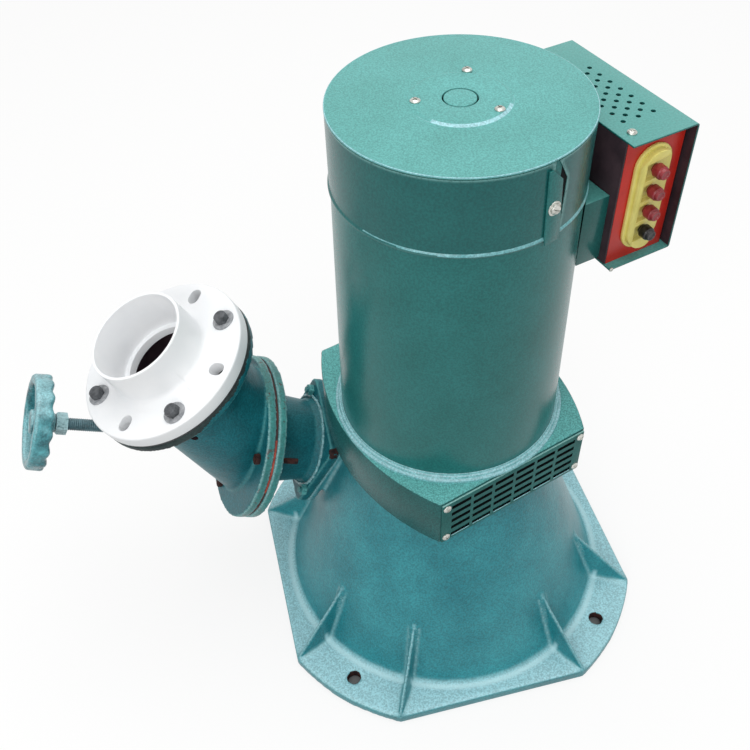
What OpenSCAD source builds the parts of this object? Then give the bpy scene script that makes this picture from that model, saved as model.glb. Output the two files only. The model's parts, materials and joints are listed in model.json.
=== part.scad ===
// Micro hydro generator: an inclined-jet turbine on a bell casting, with a generator above it.
// Millimetres. The origin is on the shaft axis at the underside of the foot flange, +Z up.

/* [Base casting] */
// radius of the foot flange at its four arcs
base_radius = 280; // [272:1:290]
// how deep each flat cuts into the foot flange
flat_depth = 32.5; // [26:0.5:36]
// thickness of the foot flange
base_thickness = 16; // [12:1:22]
// distance from the flange's edge to the centre of each foundation bolt hole
bolt_inset = 30; // [24:1:32]
// diameter of each foundation bolt hole
bolt_hole = 18; // [12:1:22]
// width of the foot flange outside the bell
flange_width = 57; // [52:1:64]
// outer radius of the bell at its top
bell_top = 124; // [118:1:130]
// wall thickness of the bell
bell_wall = 9; // [7:1:12]
// height of the eight gussets above the foot flange
gusset_height = 90; // [60:1:100]
// thickness of each gusset
gusset_thickness = 9; // [6:1:14]

/* [Vent housing] */
// height of the vent housing
housing_height = 75; // [66:1:84]
// distance from the shaft axis to the front vent face
vent_distance = 138; // [136:0.5:144]
// distance from the shaft axis to the back vent face
back_distance = 154; // [140:0.5:160]
// direction of the front vent face
vent_azimuth = 288; // [280:1:296]
// how far the curved sides stand from the shaft axis
side_reach = 142; // [138:1:146]
// thickness of the sheet vent plates
vent_sheet = 2.5; // [1.5:0.5:3]
// length of each vent slot
slot_length = 27; // [20:1:28]
// height of each vent slot
slot_height = 6; // [4:0.5:7]

/* [Generator] */
// height of the top of the vent housing above the ground
shell_foot = 355; // [345:1:370]
// outer radius of the generator shell at its top
shell_radius = 128.5; // [124:0.5:129]
// how much wider the generator shell is at its foot than at its top
shell_taper = 5; // [1:0.5:6.5]
// wall thickness of the generator shell
shell_wall = 5; // [3:0.5:8]
// height of the shell above the vent housing, up to the lid
shell_height = 409; // [390:1:430]
// height of the loose cover band below the lid
band_height = 86; // [70:1:100]
// thickness of the lid
lid_thickness = 2; // [1.5:0.5:4]

/* [Terminal box] */
// direction that the outer side of the terminal box faces
box_azimuth = 15; // [5:1:25]
// length of the terminal box along the shell
box_length = 203; // [180:1:230]
// depth of the terminal box, away from the shell
box_depth = 82.5; // [72:0.5:95]
// height of the terminal box
box_height = 153; // [146:1:170]
// height of the terminal box's underside above the ground
box_bottom = 573; // [560:1:580]
// thickness of the sheet metal
sheet = 2; // [1.5:0.5:3]
// how far the end panel is set back from the cover's edge
panel_recess = 10; // [6:1:14]

/* [Nozzle and inlet] */
// radius of the inlet and middle flanges
flange_radius = 110; // [105:1:112]
// radius of the bolt circle of the inlet and middle flanges
flange_bolts = 90; // [86:1:92]
// upward slope of the nozzle axis
nozzle_slope = 24.6; // [20:0.2:28]
// direction of the nozzle axis, outward
nozzle_azimuth = 182; // [176:1:186]
// angle between the nozzle axis and the inlet axis
inlet_bend = 41.4; // [38:0.2:45]
// bore radius of the inlet socket
socket_bore = 55; // [50:1:56]
// length from the bend to the front face of the inlet flange
inlet_reach = 208; // [200:1:225]
// height of the pipe socket above the inlet flange
socket_height = 53; // [40:1:65]

/* [Handwheel] */
// outer radius of the handwheel rim
wheel_radius = 61; // [55:1:75]
// distance from the middle flange to the handwheel along the spear rod
wheel_reach = 276; // [255:1:300]
// radius of the spear rod
rod_radius = 8; // [6:0.5:9]

/* [Runner] */
// radius at which the jet meets the runner
runner_pitch = 96; // [90:1:100]
// number of blades on the runner
blade_count = 20; // [14:1:24]

/* [Hidden] */
$fn = 96;
body_green = [0.22, 0.52, 0.50];
lid_green = [0.40, 0.68, 0.63];
steel = [0.70, 0.70, 0.68];
rust = [0.36, 0.20, 0.15];
housing_foot = shell_foot - housing_height;
base_flat = base_radius - flat_depth;
bolt_circle = base_radius - bolt_inset;
bell_foot = base_radius - flange_width;
flange_corner = acos(base_flat / base_radius);
shell_top = shell_foot + shell_height;
band_foot = shell_top - band_height;
side_radius = 280;
foot_radius = shell_radius + shell_taper;
// half width of a vent plate on a flat face at this distance from the axis
function plate_half(distance) = sqrt(side_radius * side_radius - distance * distance) - side_radius + side_reach - 1.2;
box_side = shell_radius + 3;
box_out = box_side + box_depth;
box_top = box_bottom + box_height;
box_front = -103;
box_back = box_front + box_length;
panel_at = box_front + panel_recess;
board_at = panel_at - 1.2;
board_x = (box_side + box_out) / 2 - 3;
board_z = box_bottom + box_height / 2 + 1;
nozzle_x = -254.8;
nozzle_y = 92.6;
nozzle_z = 244;
pad_at = -100;
pad_half = 66;
pad_corner = 14;
pad_turn = -9;
rod_from = -60;
elbow_radius = 73;
gland_at = 134;
runner_z = 118;
shaft_radius = 17.5;
sliver = 0.3;

// Places its children with +Z along the nozzle axis, outward, and z = 0 in the middle gasket.
module on_nozzle() {
  translate([nozzle_x, nozzle_y, nozzle_z])
    rotate([0, 0, nozzle_azimuth])
      rotate([0, 90 - nozzle_slope, 0])
        children();
}

// Places its children with +Z along the inlet axis and z = 0 at the bend.
module on_inlet() {
  on_nozzle()
    rotate([0, 0, 174.8])
      rotate([0, inlet_bend, 0])
        rotate([0, 0, 5.5])
          children();
}

// Places its children in the terminal box's frame: +X out of its long side, +Y towards its back end.
module at_box() {
  rotate([0, 0, box_azimuth])
    children();
}

module hex_head(across, height) {
  cylinder(h = height, r = across / sqrt(3), $fn = 6);
}

// The vent housing in plan: two arcs cut by the two flat vent faces.
module housing_plan(grow) {
  rotate(vent_azimuth - 90)
    intersection() {
      translate([side_radius - side_reach, 0])
        circle(r = side_radius + grow, $fn = 180);
      translate([side_reach - side_radius, 0])
        circle(r = side_radius + grow, $fn = 180);
      translate([-200, -back_distance - grow])
        square([400, vent_distance + back_distance + 2 * grow]);
    }
}

module gusset() {
  translate([0, gusset_thickness / 2, base_thickness - 0.5])
    rotate([90, 0, 0])
      linear_extrude(gusset_thickness)
        polygon([
          [bell_foot - 45, 0],
          [base_radius - 2.5, 0],
          [base_radius - 3.5, 3],
          [bell_foot - 33, gusset_height],
          [bell_foot - 45, gusset_height]
        ]);
}

// The room that the vent housing and its plates need, for what is cast or welded beside them.
module housing_room() {
  translate([0, 0, housing_foot + 0.05])
    linear_extrude(200)
      housing_plan(4);
}

// The rounded square plate that the nozzle pipe and the casting's boss share.
module pad_plate(height) {
  rotate([0, 0, pad_turn])
    linear_extrude(height)
      offset(r = pad_corner)
        square(2 * (pad_half - pad_corner), center = true);
}

module base_casting() {
  color(body_green)
    difference() {
      union() {
        intersection() {
          cylinder(h = base_thickness, r = base_radius);
          translate([-base_flat, -base_flat, 0])
            cube([2 * base_flat, 2 * base_flat, base_thickness]);
        }
        translate([0, 0, base_thickness - 1])
          cylinder(h = housing_foot - base_thickness + 1, r1 = bell_foot, r2 = bell_top);
        for (side = [0:3])
          for (turn = [-flange_corner, flange_corner])
            rotate([0, 0, side * 90 + turn])
              gusset();
        on_nozzle()
          union() {
            translate([0, 0, pad_at - 10])
              pad_plate(10);
            translate([0, 0, pad_at - 90])
              cylinder(h = 80, r = 64);
          }
      }
      translate([0, 0, -1])
        cylinder(h = housing_foot - 9, r1 = bell_foot - bell_wall, r2 = bell_top - bell_wall + 4);
      translate([0, 0, housing_foot - 20])
        cylinder(h = 30, r = 62);
      on_nozzle()
        translate([0, 0, pad_at - 180])
          cylinder(h = 181, r = 46);
      housing_room();
      for (turn = [45, 135, 225, 315])
        rotate([0, 0, turn])
          translate([bolt_circle, 0, -1])
            cylinder(h = base_thickness + 2, r = bolt_hole / 2);
    }
}

module vent_housing() {
  color(lid_green)
    difference() {
      translate([0, 0, housing_foot + sliver])
        linear_extrude(housing_height - sliver)
          housing_plan(0);
      translate([0, 0, housing_foot + 3])
        linear_extrude(housing_height - 8)
          housing_plan(-5);
      translate([0, 0, housing_foot - 1])
        cylinder(h = 10, r = bell_top - 12);
      translate([0, 0, shell_foot - 10])
        cylinder(h = 20, r = 110);
      rotate([0, 0, vent_azimuth - 90])
        translate([0, 0, housing_foot + housing_height / 2])
          cube([176, 3 * vent_distance, housing_height - 22], center = true);
    }
}

module vent_plate(distance, half) {
  rotate([0, 0, -90])
    translate([0, distance + 0.02, housing_foot + 1])
      difference() {
        translate([-half, 0, 0])
          cube([2 * half, vent_sheet, housing_height - 3]);
        for (column = [0:5])
          for (row = [0:4])
            translate([(column - 2.5) * 31 - slot_length / 2, -1, 7 + row * 13])
              cube([slot_length, vent_sheet + 2, slot_height]);
      }
}

module vent_plate_front() {
  color(body_green)
    rotate([0, 0, vent_azimuth])
      vent_plate(vent_distance, plate_half(vent_distance));
}

module vent_plate_back() {
  color(body_green)
    rotate([0, 0, vent_azimuth + 180])
      vent_plate(back_distance, plate_half(back_distance));
}

module generator_shell() {
  color(body_green)
    difference() {
      union() {
        translate([0, 0, shell_foot])
          cylinder(h = band_foot - shell_foot, r1 = foot_radius, r2 = shell_radius);
        translate([0, 0, band_foot - 1])
          cylinder(h = band_height + 1, r = shell_radius);
        translate([0, 0, shell_foot - 34])
          cylinder(h = 36, r = 109);
      }
      translate([0, 0, shell_foot + 14])
        cylinder(h = shell_height, r = shell_radius - shell_wall);
      translate([0, 0, shell_foot - 35])
        cylinder(h = 60, r = shaft_radius + sliver);
    }
}

module foot_ring() {
  color(lid_green)
    translate([0, 0, shell_foot])
      rotate_extrude()
        translate([foot_radius + 0.1, 0])
          polygon([[0, 0], [8, 0], [7, 2.2], [3.4, 4.6], [0, 7.6]]);
}

module band_shape(outer, inner) {
  difference() {
    circle(r = outer, $fn = 180);
    circle(r = inner, $fn = 180);
  }
}

module cover_band() {
  color(body_green)
    difference() {
      translate([0, 0, band_foot])
        cylinder(h = band_height, r = shell_radius + 1.2);
      translate([0, 0, band_foot - 1])
        cylinder(h = band_height + 2, r = shell_radius + 0.1);
      rotate([0, 0, 300])
        translate([shell_radius - 6, -2.5, band_foot - 1])
          cube([12, 5, band_height + 2]);
    }
}

module band_clamp() {
  color(body_green)
    rotate([0, 0, 294.2])
      translate([shell_radius + 1.3, -9.5, band_foot - 11])
        cube([3, 19, band_height + 4]);
}

module lid() {
  color(lid_green)
    translate([0, 0, shell_top]) {
      cylinder(h = lid_thickness, r = shell_radius + 1.4);
      translate([0, 0, lid_thickness - 1])
        cylinder(h = 2, r = 49);
    }
}

module lid_cap() {
  color(lid_green)
    translate([0, 0, shell_top + lid_thickness + 1])
      difference() {
        cylinder(h = 2.4, r = 16);
        translate([0, 0, 1.6])
          cylinder(h = 2, r = 12.5);
      }
}

module shaft() {
  color(steel)
    translate([0, 0, runner_z - 22])
      cylinder(h = shell_top - runner_z - 40, r = shaft_radius);
}

module box_saddle() {
  color(body_green)
    at_box()
      difference() {
        translate([86, -84, box_bottom + 6])
          cube([box_side - 86.2, 168, 80]);
        translate([0, 0, shell_foot])
          cylinder(h = band_foot - shell_foot, r1 = foot_radius + 0.1, r2 = shell_radius + 0.1);
        translate([0, 0, band_foot - 0.5])
          cylinder(h = band_height, r = shell_radius + 1.3);
      }
}

module box_chassis() {
  color(body_green)
    at_box()
      difference() {
        translate([box_side, panel_at, box_bottom + sheet])
          cube([box_depth - sheet - 1, box_back - panel_at, box_height - 2 * sheet]);
        translate([box_side + sheet, panel_at - 1, box_bottom + sheet - 1])
          cube([box_depth, box_back - panel_at - sheet + 1, box_height]);
      }
}

module vent_hole(along, across) {
  translate([box_side + 42 + across, box_front + 75 + along, box_top - sheet - 1])
    cylinder(h = sheet + 2, r = 2.6);
}

module box_cover() {
  color(lid_green)
    at_box()
      difference() {
        translate([box_side + 0.1, box_front, box_bottom])
          cube([box_depth - 0.1, box_length, box_height]);
        translate([box_side - 1, box_front - 1, box_bottom + sheet])
          cube([box_depth + 1 - sheet, box_length + 2, box_height - 2 * sheet]);
        for (row = [0:2])
          for (step = [0:3])
            vent_hole(step * 16, (row - 1) * 16);
      }
}

module terminal_panel() {
  color([0.70, 0.14, 0.10])
    at_box()
      translate([box_side + sheet + 0.2, panel_at, box_bottom + sheet])
        cube([box_depth - 2 * sheet - 4.4, sheet, box_height - 2 * sheet]);
}

module stadium(length, width, height) {
  translate([0, 0, (length - width) / 2])
    rotate([90, 0, 0])
      cylinder(h = height, r = width / 2);
  translate([0, 0, -(length - width) / 2])
    rotate([90, 0, 0])
      cylinder(h = height, r = width / 2);
  translate([-width / 2, -height, -(length - width) / 2])
    cube([width, height, length - width]);
}

module terminal_board() {
  color([0.83, 0.80, 0.45])
    at_box()
      translate([board_x, panel_at, board_z])
        difference() {
          union() {
            stadium(126, 46, 4);
            translate([0, -3.9, 0])
              stadium(118, 38, 4);
            translate([-17, -11.9, -51.5])
              cube([4, 4.3, 103]);
            for (divider = [-2:2])
              translate([-14, -11.9, divider * 25 - 1.5])
                cube([16, 4.3, 3]);
          }
          for (post = [0:3])
            translate([-0.5, -3, (post - 1.5) * 25])
              rotate([90, 0, 0])
                cylinder(h = 12, r = 8.2);
        }
}

module post(place, paint) {
  color(paint)
    at_box()
      translate([board_x - 0.5, panel_at - 3, board_z + (place - 1.5) * 25])
        rotate([90, 0, 0])
          union() {
            cylinder(h = 8, r = 4.5);
            translate([0, 0, 7.5])
              cylinder(h = 8.5, r = 7.6);
            translate([0, 0, 15.5])
              cylinder(h = 4, r1 = 6.6, r2 = 5.4);
          }
}

module post_1() {
  post(0, [0.08, 0.08, 0.08]);
}

module post_2() {
  post(1, [0.50, 0.08, 0.08]);
}

module post_3() {
  post(2, [0.50, 0.08, 0.08]);
}

module post_4() {
  post(3, [0.50, 0.08, 0.08]);
}

module nozzle_pipe() {
  color(body_green)
    difference() {
      on_nozzle()
        difference() {
          union() {
            translate([0, 0, -13])
              cylinder(h = 11.5, r = flange_radius + 1);
            translate([0, 0, pad_at + 0.3])
              cylinder(h = 90, r1 = 54, r2 = 64);
            translate([0, 0, pad_at + 0.3])
              pad_plate(13.7);
            translate([0, 0, pad_at - 30])
              cylinder(h = 32, r = 44);
          }
          translate([0, 0, pad_at - 31])
            cylinder(h = 120, r1 = 30, r2 = 54);
          translate([0, 0, -20])
            cylinder(h = 30, r = 53.4);
        }
      housing_room();
    }
}

module nozzle_tip() {
  color(steel)
    on_nozzle()
      translate([0, 0, pad_at - 84])
        difference() {
          union() {
            cylinder(h = 53.6, r1 = 22, r2 = 42);
            translate([0, 0, -12])
              cylinder(h = 12.5, r = 22);
          }
          translate([0, 0, -13])
            cylinder(h = 14, r = 14);
          translate([0, 0, 0.9])
            cylinder(h = 53.4, r1 = 14, r2 = 31);
        }
}

module mid_gasket() {
  color(rust)
    on_nozzle()
      translate([0, 0, -1.5])
        difference() {
          cylinder(h = 3, r = flange_radius - 2);
          translate([0, 0, -1])
            cylinder(h = 5, r = 56);
        }
}

// Everything beyond a distance along the nozzle axis, to clip what leans through a flange.
module beyond(distance) {
  on_nozzle()
    translate([0, 0, distance])
      cylinder(h = 400, r = 260);
}

module inlet_elbow() {
  color(body_green)
    difference() {
      union() {
        on_nozzle()
          translate([0, 0, 1.5])
            cylinder(h = 11.5, r = flange_radius + 1);
        intersection() {
          on_inlet()
            translate([0, 0, -90])
              cylinder(h = inlet_reach + 64, r = elbow_radius);
          beyond(6);
        }
        on_inlet()
          translate([0, 0, inlet_reach - 32])
            cylinder(h = 11.7, r = flange_radius);
        on_nozzle()
          translate([0, 0, 60])
            cylinder(h = gland_at - 60, r = 20);
      }
      on_nozzle()
        translate([0, 0, -1])
          cylinder(h = 50, r = 56);
      intersection() {
        on_inlet()
          translate([0, 0, -60])
            cylinder(h = inlet_reach + 100, r = elbow_radius - 11);
        beyond(14);
      }
      on_nozzle()
        cylinder(h = gland_at + 10, r = rod_radius + 0.5);
    }
}

module gland_nut() {
  color(steel)
    on_nozzle()
      translate([0, 0, gland_at])
        difference() {
          union() {
            hex_head(34, 12);
            cylinder(h = 17, r = 14);
          }
          translate([0, 0, -1])
            cylinder(h = 20, r = rod_radius + 0.5);
        }
}

module inlet_gasket() {
  color([0.12, 0.10, 0.09])
    on_inlet()
      translate([0, 0, inlet_reach - 20.3])
        difference() {
          cylinder(h = 3, r = flange_radius);
          translate([0, 0, -1])
            cylinder(h = 5, r = 60);
          for (turn = [0, 90, 180, 270])
            rotate([0, 0, turn])
              translate([flange_bolts, 0, -1])
                cylinder(h = 5, r = 9);
        }
}

module inlet_flange() {
  color([0.93, 0.93, 0.92])
    on_inlet()
      translate([0, 0, inlet_reach])
        difference() {
          union() {
            translate([0, 0, -17.3])
              cylinder(h = 17.3, r = flange_radius);
            translate([0, 0, -1])
              cylinder(h = socket_height + 1, r1 = 65, r2 = 62);
          }
          translate([0, 0, -6])
            cylinder(h = socket_height + 10, r = socket_bore);
          translate([0, 0, -20])
            cylinder(h = 30, r = socket_bore - 6);
          for (turn = [0:45:315])
            rotate([0, 0, turn])
              translate([flange_bolts, 0, -20]) {
                translate([-2.5, 0, 0])
                  cylinder(h = 30, r = 9);
                translate([2.5, 0, 0])
                  cylinder(h = 30, r = 9);
                translate([-2.5, -9, 0])
                  cube([5, 18, 30]);
              }
        }
}

module spear_rod() {
  color(steel)
    on_nozzle()
      union() {
        translate([0, 0, rod_from])
          cylinder(h = wheel_reach - rod_from + 9, r = rod_radius);
        translate([0, 0, pad_at - 66])
          cylinder(h = 70, r1 = 5, r2 = 17);
        translate([0, 0, pad_at + 4])
          cylinder(h = 44, r1 = 17, r2 = rod_radius);
      }
}

module handwheel() {
  color(lid_green)
    on_nozzle()
      translate([0, 0, wheel_reach])
        difference() {
          union() {
            rotate_extrude()
              translate([wheel_radius - 7, 0])
                offset(r = 4)
                  square([6, 16], center = true);
            translate([0, 0, -20.8])
              cylinder(h = 30.8, r = 15);
            for (spoke = [0:4])
              rotate([0, 0, spoke * 72 + 20])
                translate([12, -5, -4])
                  cube([wheel_radius - 20, 10, 8]);
          }
          translate([0, 0, -22])
            cylinder(h = 40, r = rod_radius + 0.4);
        }
}

module wheel_nut() {
  color(steel)
    on_nozzle()
      translate([0, 0, wheel_reach - 35])
        difference() {
          hex_head(24.5, 14);
          translate([0, 0, -1])
            cylinder(h = 15, r = rod_radius + 0.4);
        }
}

module runner() {
  color(steel)
    translate([0, 0, runner_z])
      difference() {
        union() {
          translate([0, 0, -20])
            cylinder(h = 34, r1 = 44, r2 = 60);
          difference() {
            cylinder(h = 16, r = runner_pitch + 18);
            translate([0, 0, -1])
              cylinder(h = 18, r = runner_pitch + 14);
          }
          for (blade = [0:blade_count - 1])
            rotate([0, 0, blade * 360 / blade_count])
              translate([40, 0, -10])
                rotate([40, 0, 0])
                  translate([0, -1.5, 0])
                    cube([runner_pitch - 24, 3, 20]);
        }
        translate([0, 0, -30])
          cylinder(h = 60, r = shaft_radius);
      }
}

base_casting();
vent_housing();
vent_plate_front();
vent_plate_back();
generator_shell();
foot_ring();
cover_band();
band_clamp();
lid();
lid_cap();
shaft();
runner();
box_saddle();
box_chassis();
box_cover();
terminal_panel();
terminal_board();
post_1();
post_2();
post_3();
post_4();
nozzle_pipe();
nozzle_tip();
mid_gasket();
inlet_elbow();
gland_nut();
inlet_gasket();
inlet_flange();
spear_rod();
handwheel();
wheel_nut();
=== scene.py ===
import json
import math

import bmesh
import bpy
from mathutils import Matrix, Vector, noise

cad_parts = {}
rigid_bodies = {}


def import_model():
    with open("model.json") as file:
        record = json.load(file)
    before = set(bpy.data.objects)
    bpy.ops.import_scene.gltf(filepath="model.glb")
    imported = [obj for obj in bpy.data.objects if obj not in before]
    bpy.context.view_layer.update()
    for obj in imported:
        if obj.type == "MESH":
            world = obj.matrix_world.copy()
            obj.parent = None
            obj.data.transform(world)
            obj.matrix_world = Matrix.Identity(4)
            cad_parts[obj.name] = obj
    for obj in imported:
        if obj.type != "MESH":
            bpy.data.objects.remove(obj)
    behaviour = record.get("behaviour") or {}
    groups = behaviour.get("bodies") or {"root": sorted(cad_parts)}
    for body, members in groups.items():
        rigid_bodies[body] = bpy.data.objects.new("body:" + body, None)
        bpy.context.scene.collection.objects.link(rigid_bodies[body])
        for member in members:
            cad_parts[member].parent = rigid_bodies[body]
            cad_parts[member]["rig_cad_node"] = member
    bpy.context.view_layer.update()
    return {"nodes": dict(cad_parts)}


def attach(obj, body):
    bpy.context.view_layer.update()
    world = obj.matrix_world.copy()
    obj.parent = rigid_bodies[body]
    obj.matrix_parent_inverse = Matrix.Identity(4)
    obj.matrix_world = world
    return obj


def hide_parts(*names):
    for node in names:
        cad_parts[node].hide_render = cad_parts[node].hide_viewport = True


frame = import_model()
nodes = frame["nodes"]
print("frame loaded")


# small makers used by every piece; lengths go in as millimetres

def spin(degrees, axis="Z"):
    return Matrix.Rotation(math.radians(degrees), 4, axis)


def shift(x, y, z):
    return Matrix.Translation((x / 1000, y / 1000, z / 1000))


def polar(reach, angle, z=0):
    return reach * math.cos(angle), reach * math.sin(angle), z


def fromAxis(at):
    return math.hypot(at.x, at.y)


def azimuthOf(at):
    return math.degrees(math.atan2(at.y, at.x)) % 360


def awayFrom(azimuth, at):
    return (azimuthOf(at) - azimuth + 180) % 360 - 180


def inward(at, facing):
    return -(at.x * facing.x + at.y * facing.y)


def objectFrom(name, mesh):
    piece = bpy.data.objects.new(name, mesh)
    bpy.context.scene.collection.objects.link(piece)
    return piece


def solidFrom(name, points, faces, place=None):
    weld = 0.00001
    shape = bmesh.new()
    corners = [shape.verts.new(Vector(p) / 1000) for p in points]
    for face in faces:
        if len(set(face)) > 2:
            shape.faces.new([corners[i] for i in face])
    bmesh.ops.remove_doubles(shape, verts=shape.verts, dist=weld)
    bmesh.ops.dissolve_degenerate(shape, edges=shape.edges, dist=weld / 4)
    bmesh.ops.recalc_face_normals(shape, faces=shape.faces)
    mesh = bpy.data.meshes.new(name)
    shape.to_mesh(mesh)
    shape.free()
    if place is not None:
        mesh.transform(place)
    return objectFrom(name, mesh)


def rounded(points, closed=True, steps=5):
    # a point may carry a third number, the radius its corner is rounded to
    line = []
    count = len(points)
    for i, point in enumerate(points):
        here = Vector(point[:2])
        radius = point[2] if len(point) > 2 else 0
        if radius <= 0 or (not closed and i in (0, count - 1)):
            line.append(tuple(here))
            continue
        back = (Vector(points[i - 1][:2]) - here).normalized()
        ahead = (Vector(points[(i + 1) % count][:2]) - here).normalized()
        half = back.angle(ahead) / 2
        centre = here + (back + ahead).normalized() * (radius / math.sin(half))
        first = here + back * (radius / math.tan(half)) - centre
        last = here + ahead * (radius / math.tan(half)) - centre
        start = math.atan2(first.y, first.x)
        sweep = (math.atan2(last.y, last.x) - start + math.pi) % (2 * math.pi) - math.pi
        for k in range(steps + 1):
            angle = start + sweep * k / steps
            line.append((centre.x + radius * math.cos(angle), centre.y + radius * math.sin(angle)))
    return line


def turned(name, profile, place=None, steps=96, closed=True, soft=4, start=0, sweep=360, wobble=None):
    profile = rounded(profile, closed, soft)
    full = sweep >= 360
    columns = steps if full else steps + 1
    rows = len(profile)
    points = []
    for c in range(columns):
        angle = math.radians(start + sweep * c / steps)
        for radius, z in profile:
            points.append(polar(radius + (wobble(angle, radius, z) if wobble else 0), angle, z))
    faces = []
    for c in range(steps):
        a, b = c * rows, (c + 1) % columns * rows
        for r in range(rows if closed else rows - 1):
            s = (r + 1) % rows
            faces.append((a + r, b + r, b + s, a + s))
    if not full and closed:
        faces += [tuple(range(rows)), tuple(range((columns - 1) * rows, columns * rows))]
    return solidFrom(name, points, faces, place)


def drill(radius, low, high, place=None, steps=40):
    return turned("drill", [(0, low), (radius, low), (radius, high), (0, high)], place, steps, closed=False)


def collar(name, inner, outer, low, high, place, steps, edge=0, **settings):
    section = [(inner, low), (outer, low, edge), (outer, high, edge), (inner, high)]
    return turned(name, section, place, steps, soft=2, **settings)


def stacked(name, rings, place=None):
    count = len(rings[0])
    points = [point for ring in rings for point in ring]
    top = len(points) - count
    faces = [tuple(range(count)), tuple(range(top, len(points)))]
    for base in range(0, top, count):
        for i in range(count):
            a, b = base + i, base + (i + 1) % count
            faces.append((a, b, b + count, a + count))
    return solidFrom(name, points, faces, place)


def prism(name, outline, low, high, place=None):
    return stacked(name, [[(x, y, z) for x, y in outline] for z in (low, high)], place)


def block(name, low, high, place=None):
    outline = [(low[0], low[1]), (high[0], low[1]), (high[0], high[1]), (low[0], high[1])]
    return prism(name, outline, low[2], high[2], place)


def change(piece, kind, **settings):
    modifier = piece.modifiers.new(kind.lower(), kind)
    for key, value in settings.items():
        setattr(modifier, key, value)
    graph = bpy.context.evaluated_depsgraph_get()
    mesh = bpy.data.meshes.new_from_object(piece.evaluated_get(graph))
    piece.modifiers.clear()
    piece.data = mesh
    return piece


def bevel(piece, width, segments=2, angle=30):
    return change(piece, "BEVEL", width=width / 1000, segments=segments, limit_method="ANGLE",
                  angle_limit=math.radians(angle), use_clamp_overlap=True)


def cut(piece, tool):
    change(piece, "BOOLEAN", operation="DIFFERENCE", solver="EXACT", object=tool)
    bpy.data.objects.remove(tool)
    return piece


def joined(name, sources, places=None):
    shape = bmesh.new()
    for source in sources:
        for place in places or [Matrix.Identity(4)]:
            mesh = source.data.copy()
            mesh.transform(place)
            shape.from_mesh(mesh)
            bpy.data.meshes.remove(mesh)
    mesh = bpy.data.meshes.new(name)
    shape.to_mesh(mesh)
    shape.free()
    for source in sources:
        if "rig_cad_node" not in source:
            bpy.data.objects.remove(source)
    return objectFrom(name, mesh)


def casting(piece, voxel, rounds, share, swell, swellSize=45):
    # melts the parts of a casting into one skin with soft corners and a slightly uneven face
    shape = bmesh.new()
    shape.from_mesh(piece.data)
    bmesh.ops.remove_doubles(shape, verts=shape.verts, dist=0.000002)
    shape.to_mesh(piece.data)
    shape.free()
    change(piece, "REMESH", mode="VOXEL", voxel_size=voxel / 1000, adaptivity=0)
    change(piece, "SMOOTH", factor=0.5, iterations=rounds)
    if share < 1:
        change(piece, "DECIMATE", ratio=share)
    normals = [v.normal.copy() for v in piece.data.vertices]
    for vertex, normal in zip(piece.data.vertices, normals):
        at = vertex.co * (1000 / swellSize)
        vertex.co += normal * (noise.noise(at) + 0.4 * noise.noise(at * 3.1)) * swell / 1000


def dress(piece, material, replaced=(), body="generator", angle=32):
    piece.data.materials.clear()
    for one in material if isinstance(material, list) else [material]:
        piece.data.materials.append(one)
    piece.data.shade_smooth()
    piece.data.set_sharp_from_angle(angle=math.radians(angle))
    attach(piece, body)
    if replaced:
        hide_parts(*replaced)


def paintWhere(piece, index, chosen, place=Matrix.Identity(4)):
    back = place.inverted()
    turn = back.to_3x3()
    for face in piece.data.polygons:
        if chosen((back @ face.center) * 1000, turn @ face.normal):
            face.material_index = index


# where the assemblies stand

machine = dict(
    ventAzimuth=288, ventDistance=138, backDistance=154, nozzleStart=(-254.8, 92.6, 244), nozzleAzimuth=182,
    nozzleSlope=24.6, inletTurn=174.8, inletBend=41.4, inletTwist=5.5, inletReach=208, flangeBolts=90,
    wheelReach=276, boxAzimuth=15)
nozzlePlace = (shift(*machine["nozzleStart"]) @ spin(machine["nozzleAzimuth"])
               @ spin(90 - machine["nozzleSlope"], "Y"))
inletPlace = (nozzlePlace @ spin(machine["inletTurn"]) @ spin(machine["inletBend"], "Y")
              @ spin(machine["inletTwist"]))
boxPlace = spin(machine["boxAzimuth"])


# camera

view = dict(location=(-0.2547, -0.7526, 1.2208), turn=(43.636, 1.574, -13.792), lens=44.502, sensor=36,
            clip=(0.05, 60))
camera = bpy.data.objects.new("camera", bpy.data.cameras.new("camera"))
bpy.context.scene.collection.objects.link(camera)
camera.location = view["location"]
camera.rotation_euler = [math.radians(a) for a in view["turn"]]
camera.data.lens = view["lens"]
camera.data.sensor_width = view["sensor"]
camera.data.clip_start, camera.data.clip_end = view["clip"]
bpy.context.scene.camera = camera


# materials

def linear(hexColour):
    parts = [int(hexColour[i:i + 2], 16) / 255 for i in (1, 3, 5)]
    return tuple(p / 12.92 if p <= 0.04045 else ((p + 0.055) / 1.055) ** 2.4 for p in parts) + (1.0,)


def grey(value):
    return (value, value, value, 1)


def addNode(tree, kind, settings=None):
    # a setting is a link if it is a socket, else an input's value or one of the node's own choices
    node = tree.nodes.new("ShaderNode" + kind)
    for key, value in (settings or {}).items():
        if key == "stops":
            ramp = node.color_ramp
            ramp.elements[0].position, ramp.elements[0].color = value[0]
            ramp.elements[1].position, ramp.elements[1].color = value[-1]
            for position, colour in value[1:-1]:
                ramp.elements.new(position).color = colour
        elif isinstance(value, bpy.types.NodeSocket):
            tree.links.new(value, node.inputs[key])
        elif isinstance(key, int) or key in node.inputs:
            node.inputs[key].default_value = value
        else:
            setattr(node, key, value)
    return node.outputs


def blank(name):
    material = bpy.data.materials.new(name)
    material.use_nodes = True
    material.node_tree.nodes.clear()
    return material, material.node_tree


def clouds(tree, where, size, detail, roughness=0.5):
    return addNode(tree, "TexNoise", {"Scale": 1000 / size, "Detail": detail, "Roughness": roughness,
                                      "Vector": where})["Fac"]


def graded(tree, amount, stops):
    return addNode(tree, "ValToRGB", {"stops": stops, "Fac": amount})["Color"]


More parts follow.
